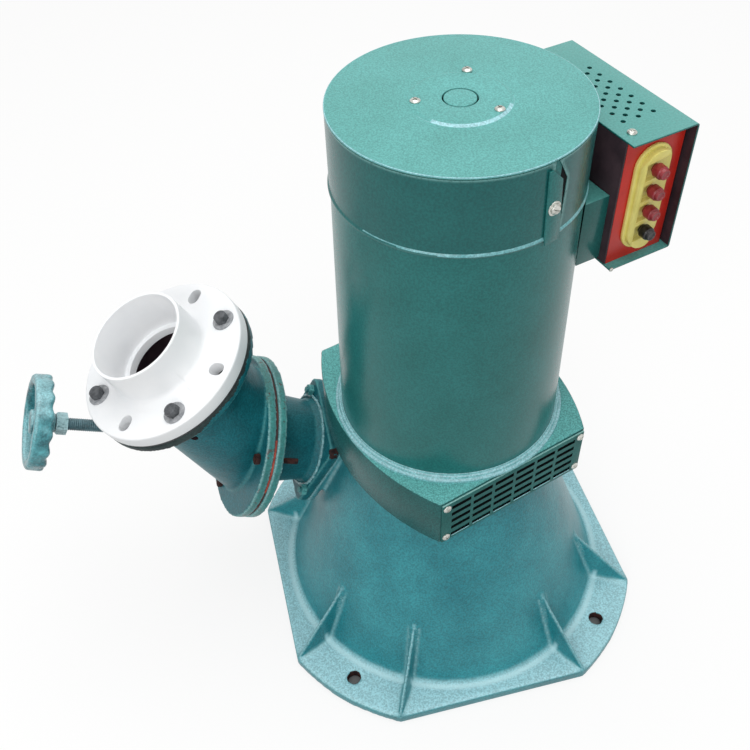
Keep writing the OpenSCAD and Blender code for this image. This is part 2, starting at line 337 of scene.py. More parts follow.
def scaled(tree, value, before, after=(0, 1)):
    return addNode(tree, "MapRange", {"From Min": before[0], "From Max": before[1], "To Min": after[0],
                                      "To Max": after[1], "Value": value})["Result"]


def layered(tree, amount, under, over, blend="MIX"):
    return addNode(tree, "Mix", {"data_type": "RGBA", "blend_type": blend, 0: amount, 6: under, 7: over})[2]


def maths(tree, operation, first, second=0):
    return addNode(tree, "Math", {"operation": operation, 0: first, 1: second})[0]


def raised(tree, height, strength, depth, **under):
    return addNode(tree, "Bump", {"Strength": strength, "Distance": depth / 1000, "Height": height,
                                  **under})["Normal"]


def finish(tree, colour, normal, roughness, shine, metallic=0, ior=1.5):
    skin = addNode(tree, "BsdfPrincipled", {
        "Base Color": colour, "Normal": normal, "Roughness": roughness, "Specular IOR Level": shine,
        "Metallic": metallic, "IOR": ior})
    addNode(tree, "OutputMaterial", {"Surface": skin["BSDF"]})


def pooledPaint(tree, paint, where, pool):
    flat = addNode(tree, "VectorMath", {"operation": "MULTIPLY", 0: where, 1: (1, 1, 0)})[0]
    reach = addNode(tree, "VectorMath", {"operation": "LENGTH", 0: flat})["Value"]
    off = maths(tree, "ABSOLUTE", maths(tree, "SUBTRACT", reach, pool["reach"]))
    height = addNode(tree, "SeparateXYZ", {"Vector": where})["Z"]
    amount = maths(tree, "MULTIPLY", scaled(tree, off, pool["fade"], (0, pool["share"])),
                   scaled(tree, height, pool["under"]))
    amount = maths(tree, "MULTIPLY", amount, scaled(tree, height, pool["over"]))
    return layered(tree, amount, paint, linear(pool["colour"]))


def enamel(name, base, **changes):
    look = dict(base, **changes)
    material, tree = blank(name)
    where = addNode(tree, "TexCoord")["Object"]
    form = addNode(tree, "NewGeometry")
    cloud = clouds(tree, where, look["cloudSize"], 4, 0.6)
    grain = clouds(tree, where, look["grainSize"], 2, 0.55)
    chip = clouds(tree, where, look["chipSize"], 5, 0.7)
    low, high = look["cloudStops"]
    coat = graded(tree, cloud, [(low, linear(look["deep"])), (high, linear(look["pale"]))])
    # up-facing faces painted lighter as painted light from above
    upward = addNode(tree, "SeparateXYZ", {"Vector": form["Normal"]})["Z"]
    dusty = layered(tree, scaled(tree, upward, look["dustFacing"], (0, look["dust"])), coat,
                    linear(look["dustColour"]))
    dark, middle, light = look["fleckStops"]
    fleck = graded(tree, grain, [(dark, grey(1 - look["fleck"])), (middle, grey(1)),
                                 (light, grey(1 + look["fleck"]))])
    flecked = layered(tree, 1.0, dusty, fleck, "MULTIPLY")
    worn = graded(tree, chip, [(look["chipFrom"], grey(0)), (look["chipFrom"] + look["chipFade"], grey(1))])
    paint = layered(tree, worn, flecked, linear(look["chipColour"]))
    # painted highlights on sharp edges, broken up by the grain, and in hollows
    if "edge" in look:
        sharp = scaled(tree, form["Pointiness"], look["edgeFrom"], (0, look["edge"]))
        rubbed = maths(tree, "MULTIPLY", sharp, scaled(tree, grain, look["edgeGrain"]))
        hollow = scaled(tree, form["Pointiness"], look["hollowFrom"], (0, look["hollow"]))
        for amount in (rubbed, hollow):
            paint = layered(tree, amount, paint, linear(look["edgeColour"]))
    # painted highlight along the fillet at the bell's foot
    if "pool" in look:
        paint = pooledPaint(tree, paint, where, look["pool"])
    peel = raised(tree, grain, look["peel"], look["peelDepth"])
    lumps = clouds(tree, where, look["lumpSize"], 3, 0.6)
    wave = raised(tree, lumps, look["wave"], look["waveDepth"], Normal=peel)
    finish(tree, paint, wave, scaled(tree, cloud, (0, 1), look["gloss"]), look["shine"])
    return material


def plain(name, deep, pale, cloudSize, grainSize, gloss, relief, metallic=0, ior=1.5, shine=0.5):
    material, tree = blank(name)
    where = addNode(tree, "TexCoord")["Object"]
    cloud = clouds(tree, where, cloudSize, 5, 0.6)
    colour = graded(tree, cloud, [(0.35, linear(deep)), (0.65, linear(pale))])
    normal = raised(tree, clouds(tree, where, grainSize, 3), relief, 0.4)
    finish(tree, colour, normal, scaled(tree, cloud, (0, 1), gloss), shine, metallic, ior)
    return material


# sizes and depths in millimetres; a pair is where a change begins and ends
sheetLook = dict(
    deep="#1d6563", pale="#27706e", cloudSize=90, cloudStops=(0.32, 0.68),
    dust=0.0, dustColour="#8fc4c0", dustFacing=(0.55, 0.97),
    grainSize=2.2, fleck=0.14, fleckStops=(0.38, 0.5, 0.64),
    chipSize=30, chipFrom=0.78, chipFade=0.03, chipColour="#7fa5a6",
    gloss=(0.2, 0.3), peel=0.7, peelDepth=0.22, lumpSize=14, wave=0.05, waveDepth=1.2,
    shine=0.34, edgeFrom=(0.515, 0.575), edgeGrain=(0.2, 0.48), hollowFrom=(0.495, 0.455),
)
castLook = dict(
    sheetLook, deep="#1b7680", pale="#338f98", dust=0.85, dustColour="#a3d2da", cloudSize=70,
    grainSize=2.4, fleck=0.2, chipSize=7, chipFrom=0.72, chipColour="#9cc6ca", gloss=(0.26, 0.4),
    peel=0.9, peelDepth=0.55, lumpSize=16, wave=0.5, shine=0.42, edge=0.85, edgeColour="#abd6da", hollow=0.45)
# metres: the painted highlight along the fillet at the bell's foot, how far it fades, and the heights it lies
# between
footPool = dict(reach=0.2305, fade=(0.0048, 0.0012), share=0.75, under=(0.034, 0.026), over=(0.013, 0.0155),
                colour="#b4dde3")
paints = dict(
    # alkyd enamel sprayed on rolled steel: a deep green with an even gloss and a fine orange peel
    shell=enamel("sprayedEnamelOnRolledSteel", sheetLook, deep="#206966", pale="#2b7573", shine=0.24),
    # the same enamel where it lies flat, in a lighter colour as painted light from above; it dries in fine
    # pale flecks
    top=enamel("hammeredEnamelOnFlatSheet", sheetLook, deep="#579c97", pale="#5fa6a2", fleck=0.19,
               grainSize=1.6, gloss=(0.4, 0.5), peelDepth=0.3),
    # the enamel on folded sheet, thinner and greyer
    folded=enamel("thinEnamelOnFoldedSheet", sheetLook, deep="#1f5856", pale="#2b6867", dust=0.8,
                  dustColour="#6ab6b3", fleck=0.3, grainSize=1.8, shine=0.15),
    # pale enamel as painted highlight: on the smooth bead where the shell meets the housing, with paler
    # crests, and on the band's lip, the lid's rim and step and the vent lips
    bead=enamel("pooledEnamelBead", sheetLook, deep="#5b9fa3", pale="#83bbc0", dust=0.6,
                dustColour="#a9d2da", cloudSize=14, fleck=0.2, gloss=(0.2, 0.32)),
    # enamel brushed over sand-cast iron: soft lumps, pits, painted highlights on edges and in hollows, what
    # faces up painted lighter as painted light from above, and a pale painted highlight along the fillet
    # where the bell meets its flange
    cast=enamel("brushedEnamelOnSandCastIron", castLook, pool=footPool),
    # the flange rims of the pipe, painted paler as painted highlight, with rust showing through in chips
    rim=enamel("chippedEnamelOnFlangeRim", castLook, deep="#1f6a69", pale="#3f8d89", dust=0.2,
               dustColour="#74aca7", chipSize=10, chipFrom=0.6, chipColour="#4a3531", gloss=(0.3, 0.46)),
    # a hand-laid weld, its ripples painted bright as painted highlight
    weld=enamel("enamelOnWeldRipples", castLook, deep="#145c66", pale="#5fa3aa", dust=0.2,
                dustColour="#7fb4ba", cloudSize=7, chipSize=10, edgeColour="#a9d6da", gloss=(0.2, 0.34)),
    # darker enamel on the cast pipe, rubbed through to rust in small spots, with painted highlights on edges
    # and in hollows
    pipe=enamel("brushedEnamelOnCastPipe", castLook, deep="#125a63", pale="#1c707a", dust=0.2,
                dustColour="#5f9a9c", cloudSize=45, chipSize=20, chipFrom=0.7, chipColour="#5a4038",
                gloss=(0.3, 0.46), edgeColour="#63b0ae", shine=0.2, hollow=0.3),
    # the elbow's end under the inlet flange, painted darker
    grime=enamel("grimyEnamelUnderFlange", sheetLook, deep="#182224", pale="#374746", cloudSize=30,
                 chipSize=16, chipFrom=0.68, chipColour="#6f7a70", gloss=(0.45, 0.65), shine=0.2),
    # the cover band, a shade darker where the sheet was sprayed twice, with painted highlights on its sharp
    # edges
    band=enamel("twiceSprayedEnamelOnSheet", sheetLook, deep="#185e5d", pale="#206866", shine=0.28,
                edge=0.5, edgeColour="#8cc4c0", hollow=0.0),
    # the pierced vent plates, dark and thinly sprayed
    plate=enamel("thinEnamelOnPiercedPlate", sheetLook, deep="#235c59", pale="#34726e", dust=0.7,
                 dustColour="#9fd0cb", shine=0.12, gloss=(0.4, 0.5)),
    # the terminal box: folded sheet whose flat top is painted paler as painted light from above
    box=enamel("enamelOnFoldedBox", sheetLook, deep="#1a5c58", pale="#256a67", dust=1.0,
               dustColour="#549a94", fleck=0.1),
    # dark green paint on the threaded spear rod
    rod=enamel("thinEnamelOnThreadedRod", sheetLook, deep="#33545b", pale="#5d808a", dust=0.4,
               dustColour="#8aa9b0", cloudSize=14, chipSize=6, chipFrom=0.7, chipColour="#83938f",
               gloss=(0.3, 0.5)),
    # enamel brushed thickly over the small castings, glossy, with painted highlights on edges and its
    # up-facing faces painted paler as painted light from above
    wheel=enamel("brushedEnamelOnCastWheel", castLook, deep="#12535c", pale="#57a4ac", dust=0.6,
                 dustColour="#a8d6dc", cloudSize=16, chipSize=12, chipFrom=0.74, chipColour="#8fb3aa",
                 gloss=(0.2, 0.36), peel=0.6, lumpSize=9, wave=0.9, shine=0.5, edge=0.8,
                 edgeColour="#bfe4e8", hollow=0.0),
)
# deep and pale colour, size of the clouds and of the grain, gloss from and to, relief
finishes = dict(
    # injection-moulded PVC: bright, a little satin, with faint flow clouds
    pvc=plain("mouldedPvc", "#eef0f2", "#f4f5f6", 60, 1.2, (0.34, 0.44), 0.08, ior=1.53),
    # zinc-plated steel: small bright heads with a cloudy plate
    zinc=plain("zincPlatedSteel", "#a9aaa3", "#d9dad4", 5, 0.6, (0.22, 0.42), 0.15, metallic=1),
    # hot-forged bolt with its black scale, dull
    bolt=plain("blackForgedSteel", "#2c2f33", "#5d6064", 6, 1.0, (0.38, 0.6), 0.35),
    # steel left bare out of doors: brown rust in thin flakes
    rust=plain("rustedSteel", "#1f1719", "#4d2e29", 8, 1.4, (0.6, 0.9), 0.6, shine=0.2),
    # fibre gasket soaked with rust, dark and matt
    gasket=plain("rustStainedFibre", "#33282a", "#5a3530", 30, 1.5, (0.7, 0.9), 0.6),
    # the same fibre where rusty water runs out of it: wet brick red
    wetRust=plain("wetRustOnFibre", "#7a2f28", "#b4503f", 9, 1.5, (0.5, 0.8), 0.5),
    # pressed washers, dull zinc
    washer=plain("dullZincWasher", "#7e8185", "#adafb2", 6, 0.7, (0.4, 0.6), 0.2),
    # moulded rubber sheet, matt and nearly black
    rubber=plain("mouldedRubber", "#26282a", "#35383a", 20, 1.2, (0.55, 0.7), 0.3),
    # baking enamel in signal red on folded sheet
    red=plain("bakedRedEnamel", "#b01c12", "#cc281a", 60, 2.4, (0.3, 0.42), 0.2),
    # pressed melamine, a warm pale yellow
    board=plain("pressedMelamine", "#dacd68", "#ebe082", 30, 1.0, (0.3, 0.42), 0.12),
    # moulded phenolic, in brick red and in black, with a soft shine
    redKnob=plain("mouldedRedPhenolic", "#7c1c22", "#9c3138", 9, 1.0, (0.24, 0.36), 0.12),
    blackKnob=plain("mouldedBlackPhenolic", "#151415", "#242222", 9, 1.0, (0.24, 0.36), 0.12),
    # red-brown primer that was never painted over
    primer=plain("dippedPrimer", "#32262c", "#45353b", 30, 1.6, (0.45, 0.6), 0.2, shine=0.25),
    # painted shade on unpainted inside faces in shadow, oily and nearly black
    dark=plain("oiledBlackSheet", "#080c0d", "#111819", 30, 1.6, (0.6, 0.8), 0.2, shine=0.08),
    # turned steel, oiled
    steel=plain("turnedSteel", "#8b8b86", "#b5b4ae", 14, 0.8, (0.28, 0.42), 0.12, metallic=1),
    # cast stainless steel as it leaves the mould, silky
    stainless=plain("castStainlessSteel", "#8f908e", "#bcbcb8", 16, 1.2, (0.34, 0.5), 0.3, metallic=1),
)
print("materials mixed")


# floor and light

stage = dict(
    floorHalf=6000, floorDrop=0.3, floor="#f4f4f3", bounce="#8c8f8f", glow=0.8, world=0.68,
    footHalf=0.243, footRadius=0.274,
    # where each lamp hangs, what it aims at, its size and its power
    lamps=dict(topPanel=((0.2, 0.3, 3.2), (-0.1, 0, 0.3), 2.6, 38),
               sidePanel=((-1.6, -2.4, 2.1), (0, 0, 0.35), 1.8, 34)),
)


def directlySeen(tree):
    path = addNode(tree, "LightPath")
    seen = maths(tree, "MAXIMUM", path["Is Camera Ray"], path["Is Glossy Ray"])
    return maths(tree, "MAXIMUM", seen, path["Is Transmission Ray"])


def stageFloor():
    half, z = stage["floorHalf"], -stage["floorDrop"]
    floor = solidFrom("floor", [(-half, -half, z), (half, -half, z), (half, half, z), (-half, half, z)],
                      [(0, 1, 2, 3)])
    material, tree = blank("paleStudioFloor")
    where = addNode(tree, "TexCoord")["Object"]
    sides = addNode(tree, "SeparateXYZ", {"Vector": addNode(
        tree, "VectorMath", {"operation": "ABSOLUTE", 0: where})[0]})
    square = maths(tree, "MAXIMUM", sides["X"], sides["Y"])
    reach = addNode(tree, "VectorMath", {"operation": "LENGTH", 0: where})["Value"]
    # under the foot flange the floor is painted plain grey as painted shade, outside it glows a little
    beside = maths(tree, "MAXIMUM", maths(tree, "GREATER_THAN", square, stage["footHalf"]),
                   maths(tree, "GREATER_THAN", reach, stage["footRadius"]))
    lit = maths(tree, "MULTIPLY", directlySeen(tree), beside)
    colour = layered(tree, lit, linear(stage["bounce"]), linear(stage["floor"]))
    skin = addNode(tree, "BsdfDiffuse", {"Color": colour})[0]
    glow = addNode(tree, "Emission", {"Color": grey(1), "Strength": 1.0})[0]
    mixed = addNode(tree, "MixShader", {0: maths(tree, "MULTIPLY", lit, stage["glow"]), 1: skin, 2: glow})[0]
    addNode(tree, "OutputMaterial", {"Surface": mixed})
    floor.data.materials.append(material)


def stageWorld():
    world = bpy.data.worlds.new("studio")
    bpy.context.scene.world = world
    world.use_nodes = True
    tree = world.node_tree
    tree.nodes.clear()
    strength = scaled(tree, directlySeen(tree), (0, 1), (stage["world"], 1))
    sky = addNode(tree, "Background", {"Color": grey(1), "Strength": strength})[0]
    addNode(tree, "OutputWorld", {"Surface": sky})


def lamp(name, at, target, size, power):
    light = bpy.data.lights.new(name, "AREA")
    light.shape = "DISK"
    light.size = size
    light.energy = power
    piece = bpy.data.objects.new(name, light)
    bpy.context.scene.collection.objects.link(piece)
    piece.location = at
    piece.rotation_euler = (Vector(target) - Vector(at)).to_track_quat("-Z", "Y").to_euler()


bpy.context.scene.view_settings.view_transform = "Standard"
stageFloor()
stageWorld()
for name, settings in stage["lamps"].items():
    lamp(name, *settings)
print("stage lit")


# screws, nuts and bolts

fixing = dict(slotHalf=0.55, slotFrom=0.55, slotReach=1.2, crossReach=0.62, hexAcross=15.5, hexHigh=8,
              hexChamfer=0.26, washerRadius=13.8, seatTurns=(5, 117, 237), padTurns=(217, 55), padReach=71,
              padFace=-85.8)


def panHead(radius, height, slotTurn, cross=True):
    profile = [(0, height), (radius * 0.62, height * 0.96, 1.2), (radius, height * 0.42, 0.8), (radius, 0),
               (0, 0)]
    head = turned("head", profile, steps=28, closed=False)
    reach = radius * fixing["crossReach" if cross else "slotReach"]
    for turn in (slotTurn, slotTurn + 90) if cross else (slotTurn,):
        cut(head, block("tool", (-reach, -fixing["slotHalf"], height * fixing["slotFrom"]),
                        (reach, fixing["slotHalf"], height * 2), spin(turn)))
    return head


def hexPart(across, height, place=None, chamfer=0.16):
    radius, corners, sixth = across / math.sqrt(3), 24, math.pi / 3
    rings = []
    for z, share in ((0, 1), (height * (1 - chamfer), 1), (height, 0.86)):
        ring = []
        for k in range(corners):
            angle = 2 * math.pi * k / corners
            reach = across / 2 / math.cos((angle + sixth / 2) % sixth - sixth / 2)
            ring.append(polar(min(reach, radius * share) if share < 1 else reach, angle, z))
        rings.append(ring)
    return stacked("hex", rings, place)


def threaded(radius, low, high, pitch, depth, steps=20):
    rows = max(2, int((high - low) / pitch * 5))
    rings = []
    for r in range(rows + 1):
        z = low + (high - low) * r / rows
        rings.append([polar(radius - depth * abs(2 * ((z / pitch - c / steps) % 1) - 1),
                            2 * math.pi * c / steps, z) for c in range(steps)])
    return stacked("thread", rings)


def washer(outer, inner, thickness):
    section = [(inner, 0), (outer, 0), (outer, thickness, 0.5), (inner, thickness, 0.3)]
    return turned("washer", section, steps=36, soft=2)


def fit(name, parts, places, finish, angle=30):
    dress(joined(name, parts, places), finish, angle=angle)


# bell casting

bell = dict(voxel=2.5, rounds=6, share=0.46, swell=0.5, fillet=14, filletUp=22, foot=223, top=124,
            flange=16, headroom=280, holeCircle=250, hole=9, gussetHalf=7, ridge=295, ridgeDeep=26,
            draft=0.5, gussets=[side * 90 + turn for side in range(4) for turn in (-27.88, 27.88)])


def buildBell():
    foot, flange, reach, up = bell["foot"], bell["flange"], bell["fillet"], bell["filletUp"]
    slope = (foot - bell["top"]) / (bell["headroom"] - flange)
    corner = [(foot + reach, flange - 2), (foot + reach, flange), (foot, flange, reach * 0.8),
              (foot - slope * up, flange + up), (foot - slope * up - 4, flange + up), (foot - 5, flange - 2)]
    body = joined("bellCasting", [nodes["base_casting"], turned("fillet", corner, steps=120, soft=6)])
    casting(body, bell["voxel"], bell["rounds"], bell["share"], bell["swell"])
    dress(body, [paints["cast"], finishes["rust"]], ["base_casting"], angle=50)
    # the gussets thin out toward their top edge
    for vertex in body.data.vertices:
        vertex.co.z = max(vertex.co.z, 0)  # machined flat underneath
        at = vertex.co * 1000
        along = fromAxis(at)
        off = min((awayFrom(g, at) for g in bell["gussets"]), key=abs)
        under = bell["ridge"] - along - at.z
        onGusset = abs(along * math.sin(math.radians(off))) < bell["gussetHalf"]
        aboveBell = at.z > flange + 0.8 and along > foot - slope * (at.z - flange) + 3.5
        if onGusset and aboveBell and under < bell["ridgeDeep"] + 4:
            thinned = (1 - bell["draft"]) * (1 - max(0, min(1, under / bell["ridgeDeep"])))
            vertex.co = Matrix.Rotation(math.radians(-off) * thinned, 3, "Z") @ vertex.co
    # rust inside the foundation bolt holes
    holes = [spin(45 + 90 * k) @ Vector((bell["holeCircle"], 0, 0)) for k in range(4)]
    paintWhere(body, 1, lambda at, facing: at.z < flange - 1.5 and any(
        math.hypot(at.x - hole.x, at.y - hole.y) < bell["hole"] + 1.2 for hole in holes))


# vent housing and its plates

housing = dict(sheet=3, low=280.4, high=355, sideRadius=280, sideReach=142, windowHalf=88, windowInset=11,
               shellHole=109.5, floorHole=112)


def housingPlan(grow, steps=22):
    radius = housing["sideRadius"] + grow
    away = housing["sideRadius"] - housing["sideReach"]
    front = math.asin((machine["ventDistance"] + grow) / radius)
    back = math.asin((machine["backDistance"] + grow) / radius)
    line = []
    for side, first, last in ((1, -back, front), (-1, front, -back)):
        for k in range(steps + 1):
            angle = first + (last - first) * k / steps
            line.append((side * (radius * math.cos(angle) - away), radius * math.sin(angle)))
    return line


def buildHousing():
    turn = spin(machine["ventAzimuth"] - 90)
    low, high, sheet, half = housing["low"], housing["high"], housing["sheet"], housing["windowHalf"]
    skin = bevel(prism("ventHousing", housingPlan(0), low, high, turn), 1.4, 3, 40)
    cut(skin, prism("inside", housingPlan(-sheet), low + sheet, high - sheet, turn))
    cut(skin, drill(housing["shellHole"], 300, 400, steps=96))
    cut(skin, drill(housing["floorHole"], 270, 300, steps=96))
    cut(skin, block("window", (-half, -400, low + housing["windowInset"]),
                    (half, 400, high - housing["windowInset"]), turn))
    dress(skin, [paints["folded"]], ["vent_housing"])


vent = dict(low=281.4, high=352.6, thick=2.4, columns=6, columnPitch=31, rows=5, rowPitch=13,
            firstRow=287.5, slotHalf=13.5, slotHigh=6, shadeHalf=86.5, screwRows=(346, 290),
            # piece and node of each plate, its azimuth, distance, half width and how far out its screws sit
            plates=(("ventPlateFront", "vent_plate_front", machine["ventAzimuth"],
                     machine["ventDistance"], 104.3, 98),
                    ("ventPlateBack", "vent_plate_back", machine["ventAzimuth"] - 180,
                     machine["backDistance"], 94.5, 90)))


def buildVentScrews():
    places = []
    for name, node, azimuth, distance, half, along in vent["plates"]:
        for x in (-along, along):
            for z in vent["screwRows"]:
                places.append(spin(azimuth - 270) @ shift(x, -distance - vent["thick"], z) @ spin(90, "X"))
    fit("ventScrews", [panHead(5.2, 3.2, 35)], places, finishes["zinc"], angle=40)


def buildVentPlates():
    for name, node, azimuth, distance, half, along in vent["plates"]:
        turn = spin(azimuth - 270)
        front = -distance - 0.1
        plate = block(name, (-half, front - vent["thick"], vent["low"]), (half, front, vent["high"]), turn)
        bevel(plate, 0.7, 2)
        slots, lips = [], []
        for column in range(vent["columns"]):
            x = (column - (vent["columns"] - 1) / 2) * vent["columnPitch"]
            reach = vent["slotHalf"]
            for row in range(vent["rows"]):
                z = vent["firstRow"] + row * vent["rowPitch"]
                slots.append(block("slot", (x - reach, front - 10, z),
                                   (x + reach, front + 10, z + vent["slotHigh"]), turn))
            lips.append(bevel(block("lip", (x - 13, front - 3.1, vent["firstRow"] - 1.6),
                                    (x + 13, front - 0.6, vent["firstRow"]), turn), 0.6, 2))
        cut(plate, joined("slots", slots))
        dress(plate, [paints["plate"], finishes["dark"]], [node])
        # the slots' own edges are painted black as painted shade
        paintWhere(plate, 1, lambda at, facing: abs(facing.y) < 0.5 and abs(at.x) < half - 6
                   and vent["low"] + 4.6 < at.z < vent["high"] - 5.6, turn)
        # the lips under the bottom row take the pale enamel as painted highlight
        dress(joined(name + "Lips", lips), paints["bead"])
        # a black sheet behind the slots as painted shade
        backing = block(name + "Shade", (-vent["shadeHalf"], front + 5.6, 292),
                        (vent["shadeHalf"], front + 6.4, 343.4), turn)
        dress(bevel(backing, 0.2, 1), finishes["dark"])


# generator shell, cover band, lid

drum = dict(outer=128.5, footOuter=133.5, wall=5, low=321, foot=355, floor=369, bandFoot=678, top=763.9,
            spigot=109, shaftHole=17.8,
            # the bead's section, outward from the shell's foot
            bead=[(0.05, 355), (8, 355), (7.6, 357.2, 1), (4.6, 358.4, 0.8), (3.4, 360.2, 0.7),
                  (1.5, 360.8, 0.5), (0.6, 362.6, 0.6), (0, 362.8)])


def buildShell():
    outer, foot, hole, spigot = drum["outer"], drum["footOuter"], drum["shaftHole"], drum["spigot"]
    inner = outer - drum["wall"]
    profile = [(hole, drum["low"]), (spigot, drum["low"]), (spigot, drum["foot"] + 0.1),
               (foot, drum["foot"] + 0.1), (outer, drum["bandFoot"]), (outer, drum["top"], 0.8),
               (inner, drum["top"]), (inner, drum["floor"]), (hole, drum["floor"])]
    shell = turned("generatorShell", profile, steps=192, soft=3)
    dress(shell, paints["shell"], ["generator_shell"])
    ring = turned("footBead", [(foot + point[0], *point[1:]) for point in drum["bead"]], steps=240,
                  wobble=lambda a, r, z: (
                      0.5 * noise.noise(Vector((a * 22, z * 0.2, 3))) if r > foot + 1 else 0))
    dress(ring, paints["bead"], ["foot_ring"], angle=60)


band = dict(low=678, high=763.1, outer=129.6, inner=128.7, bead=5.0, proud=1.5, columns=200, edge=300.8,
            farEdge=292.5, notch=739, lean=0.016, notchHigh=24.6, notchTurn=6.4, shineEnd=276)


def bandEdge(z):
    if z < band["notch"]:
        return band["edge"] - (band["notch"] - z) * band["lean"]
    return band["edge"] - (z - band["notch"]) / band["notchHigh"] * band["notchTurn"]


def buildBand():
    rows = [band["low"] + k * 0.9 for k in range(8)] + [690 + k * 10 for k in range(5)]
    rows += [band["notch"] + k * 2.2 for k in range(11)] + [band["high"]]
    columns, height = band["columns"], 2 * len(rows)
    points, faces = [], []
    for c in range(columns + 1):
        for z in rows:
            first, last = bandEdge(z), 360 + band["farEdge"]
            angle = math.radians(first + (last - first) * c / columns)
            lift = 0
            if z < band["low"] + band["bead"]:
                lift = band["proud"] * math.sin(math.pi * (z - band["low"]) / band["bead"]) ** 0.7
            points += [polar(band["outer"] + lift, angle, z), polar(band["inner"], angle, z)]
    for base in range(0, columns * height, height):
        for a in range(base, base + height - 2, 2):
            b = a + height
            faces += [(a, b, b + 2, a + 2), (a + 1, a + 3, b + 3, b + 1)]
        for a in (base, base + height - 2):
            faces.append((a, a + 1, a + height + 1, a + height))
    for base in (0, columns * height):
        faces += [(a, a + 1, a + 3, a + 2) for a in range(base, base + height - 2, 2)]
    cover = solidFrom("coverBand", points, faces)
    dress(cover, [paints["band"], paints["bead"]], ["cover_band"])
    # painted highlight on the rolled lip beside the clamp, less and less toward the nozzle
    paintWhere(cover, 1, lambda at, facing: facing.z > 0.15 and at.y < 0
               and 1.6 + max(0, band["shineEnd"] - azimuthOf(at)) / 20 < at.z - band["low"] < band["bead"])


clamp = dict(radius=129.7, thick=1.8, azimuth=294.2, screwAzimuth=293.6, screwHeight=714.5, washer=7.6,
             outline=[(288.7, 757), (290.9, 757), (296.8, 743), (299.3, 681), (299.0, 674), (291.0, 674),
                      (290.2, 684)], tongueAzimuth=297.6, tongue=((124.5, -2.2, 690), (128.7, 9, 758)))


def buildClamp():
    radius = clamp["radius"]
    rings = []
    for lift in (0, clamp["thick"]):
        ring = []
        for azimuth, z in clamp["outline"]:
            along = (math.radians(azimuth) - math.radians(clamp["azimuth"])) * radius
            ring.append((radius + lift - along * along / (2 * radius) * 0.7 + 0.5, along, z))
        rings.append(ring)
    strip = bevel(stacked("clampStrip", rings, spin(clamp["azimuth"])), 0.6, 2)
    dress(strip, paints["shell"], ["band_clamp"])
    # a black tongue behind the band's split as painted shade
    tongue = bevel(block("clampTongue", *clamp["tongue"], spin(clamp["tongueAzimuth"])), 0.4, 1)
    dress(tongue, finishes["dark"])
    place = (spin(clamp["screwAzimuth"]) @ shift(radius + clamp["thick"] + 0.4, 0, clamp["screwHeight"])
             @ spin(90, "Y"))
    head = joined("raised", [panHead(5.6, 4.2, 62, False)], [shift(0, 0, 0.9)])
    fit("clampScrew", [washer(clamp["washer"], 2, 1.0), head], [place], finishes["zinc"], angle=40)


cap = dict(outer=129.9, inner=127, low=764.05, high=766, disc=49, raised=1.5, plug=16, plugHole=17.6,
           screws=((43.0, 172.7), (52.0, 65.4), (42.0, 312.7)), runAt=276, runHalf=78)


def buildLid():
    low, high, disc, hole, plug = cap["low"], cap["high"], cap["disc"], cap["plugHole"], cap["plug"]
    face = high + cap["raised"]
    profile = [(hole, face - 1.6), (hole, face, 0.5), (disc - 2.2, face, 1.2), (disc + 1.6, high, 1.2),
               (cap["outer"], high, 1.0), (cap["outer"], low, 0.5), (cap["inner"], low), (hole, low)]
    lid = turned("lidDisc", profile, steps=192)
    dress(lid, [paints["top"], paints["bead"]], ["lid"])

    def thickPaint(at, facing):
        # painted highlight along the rim and, fading out at both ends, on the pressed step
        off = abs(awayFrom(cap["runAt"], at)) / cap["runHalf"]
        reach = fromAxis(at)
        onStep = off < 1 and disc + 1.7 - 4.2 * (1 - off ** 2) < reach < disc + 2
        return 0.1 < facing.z < 0.985 and (reach > 100 or onStep)

    paintWhere(lid, 1, thickPaint)
    button = [(0, face + 0.1), (plug, face + 0.1, 1.1), (plug, face - 1.5), (0, face - 1.5)]
    dress(turned("lidPlug", button, steps=72, closed=False), paints["top"], ["lid_cap"])
    places = [shift(*polar(reach, math.radians(azimuth), face - 0.1)) for reach, azimuth in cap["screws"]]
    fit("lidScrews", [panHead(5.2, 2.6, 20)], places, finishes["zinc"], angle=40)


# terminal box

case = dict(inner=131.6, outer=214, front=-103, back=100, low=573, high=726, sheet=2, panelAt=-93,
            panelShort=4, boardX=169.75, boardZ=650.5, holeRadius=2.7, holeRows=5, holePitch=17,
            rowPitch=9.5, firstHole=-62, topScrews=((145.6, -82.7), (145.6, 80)),
            lowScrew=(133.9, -102.7, 574.2))
saddle = dict(half=84, low=579, high=659, face=131.4, curve=130.4)


